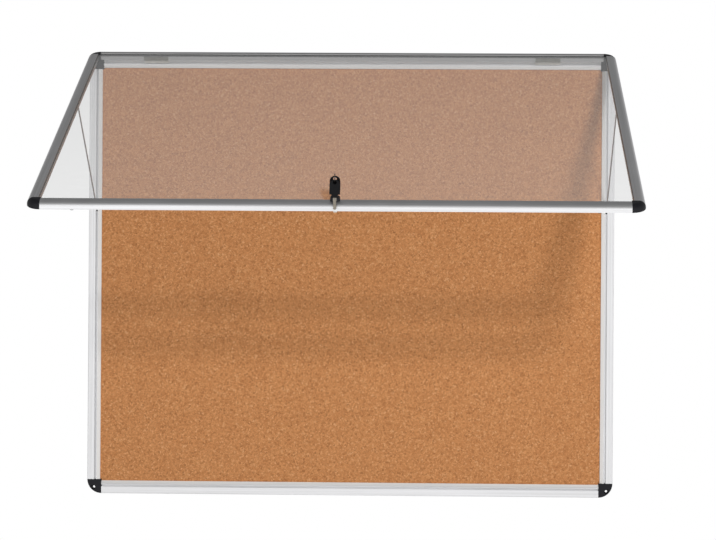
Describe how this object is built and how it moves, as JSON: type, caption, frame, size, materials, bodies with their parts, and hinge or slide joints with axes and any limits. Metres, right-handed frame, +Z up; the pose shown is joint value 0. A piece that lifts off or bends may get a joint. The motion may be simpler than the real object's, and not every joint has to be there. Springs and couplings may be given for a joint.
{
  "type": "lockable notice board",
  "caption": "Wall-mounted cork notice board in an aluminium tray, with a top-hinged glazed door, thin stays that prop it open and a cam lock with keys.",
  "frame": {"origin": "on the wall plane, at the centre of the four wall screws, which is the middle of the board", "axes": "+X to the reader's right, the reader at -Y and the wall at Y = 0, +Z up"},
  "size_m": [1.16, 0.9453, 0.9759],
  "materials": {
    "anodised_aluminium": "satin, fine lines along the length",
    "black_plastic": "fine moulded texture",
    "hardboard": "matte",
    "softboard": "matte",
    "cork": "fine granules, matte",
    "clear_acrylic": "clear, polished",
    "black_rubber": "matte",
    "hinge_metal": "dull plated",
    "screw_steel": "plated",
    "stay_steel": "drawn wire",
    "nylon": "moulded",
    "dark_lock_metal": "satin black",
    "lock_steel": "turned",
    "key_metal": "nickel-plated",
    "grip_plastic": "smooth",
    "ring_steel": "polished wire"
  },
  "bodies": {
    "board": {"base_rail_bottom": "anodised_aluminium", "base_rail_left": "anodised_aluminium", "base_rail_top": "anodised_aluminium", "base_rail_right": "anodised_aluminium", "base_corner_bottom_left": "black_plastic", "base_corner_top_left": "black_plastic", "base_corner_top_right": "black_plastic", "base_corner_bottom_right": "black_plastic", "backing_sheet": "hardboard", "softboard_core": "softboard", "cork_sheet": "cork", "hinge_fixed_leaf_left": "hinge_metal", "hinge_fixed_leaf_right": "hinge_metal", "hinge_pin_left": "hinge_metal", "hinge_pin_right": "hinge_metal", "hinge_screws_fixed": "screw_steel", "stay_stop_left": "nylon", "stay_stop_right": "nylon"},
    "door": {"door_rail_bottom": "anodised_aluminium", "door_rail_left": "anodised_aluminium", "door_rail_top": "anodised_aluminium", "door_rail_right": "anodised_aluminium", "door_corner_bottom_left": "black_plastic", "door_corner_top_left": "black_plastic", "door_corner_top_right": "black_plastic", "door_corner_bottom_right": "black_plastic", "acrylic_pane": "clear_acrylic", "pane_gasket": "black_rubber", "hinge_door_leaf_left": "hinge_metal", "hinge_door_leaf_right": "hinge_metal", "hinge_screws_door": "screw_steel", "stay_pivot_pin_left": "stay_steel", "stay_pivot_pin_right": "stay_steel", "lock_barrel": "dark_lock_metal", "lock_nut": "lock_steel", "door_bumpers": "black_rubber"},
    "stay_left": {"stay_rod_left": "stay_steel", "stay_tip_left": "nylon"},
    "stay_right": {"stay_rod_right": "stay_steel", "stay_tip_right": "nylon"},
    "lock_core": {"lock_plug": "lock_steel", "lock_cam": "lock_steel"},
    "key": {"key_blade": "key_metal", "key_grip": "grip_plastic"},
    "ring": {"key_ring": "ring_steel"},
    "spare_key": {"spare_key_blade": "key_metal", "spare_key_grip": "grip_plastic"}
  },
  "joints": [
    {"name": "door_hinge", "type": "hinge", "parent": "board", "child": "door", "pos_m": [0, -0.0288, 0.481], "axis": [-1, 0, 0], "range_deg": [-68.3, 0]},
    {"name": "stay_left_pivot", "type": "hinge", "parent": "door", "child": "stay_left", "pos_m": [-0.5627, -0.34522, 0.35659], "axis": [-1, 0, 0], "range_deg": [0, 124]},
    {"name": "stay_right_pivot", "type": "hinge", "parent": "door", "child": "stay_right", "pos_m": [0.5627, -0.34522, 0.35659], "axis": [-1, 0, 0], "range_deg": [0, 124]},
    {"name": "lock_turn", "type": "hinge", "parent": "door", "child": "lock_core", "pos_m": [0, -0.9096, 0.12855], "axis": [0, -0.3697, 0.9291], "range_deg": [0, 90]},
    {"name": "key_pull", "type": "slide", "parent": "lock_core", "child": "key", "axis": [0, -0.3697, 0.9291], "range_m": [0, 0.022]},
    {"name": "ring_swing", "type": "hinge", "parent": "key", "child": "ring", "pos_m": [0, -0.93279, 0.18681], "axis": [-1, 0, 0], "range_deg": [0, 30]},
    {"name": "spare_key_swing", "type": "hinge", "parent": "ring", "child": "spare_key", "pos_m": [0, -0.9372, 0.18505], "axis": [-1, 0, 0], "range_deg": [0, 68.3]}
  ],
  "couplings": [
    {"joint": "stay_left_pivot", "follows": "door_hinge", "ratio": -1.8043},
    {"joint": "stay_right_pivot", "follows": "door_hinge", "ratio": -1.8043},
    {"joint": "ring_swing", "follows": "lock_turn", "ratio": 0.33333},
    {"joint": "spare_key_swing", "follows": "door_hinge", "ratio": -1}
  ]
}
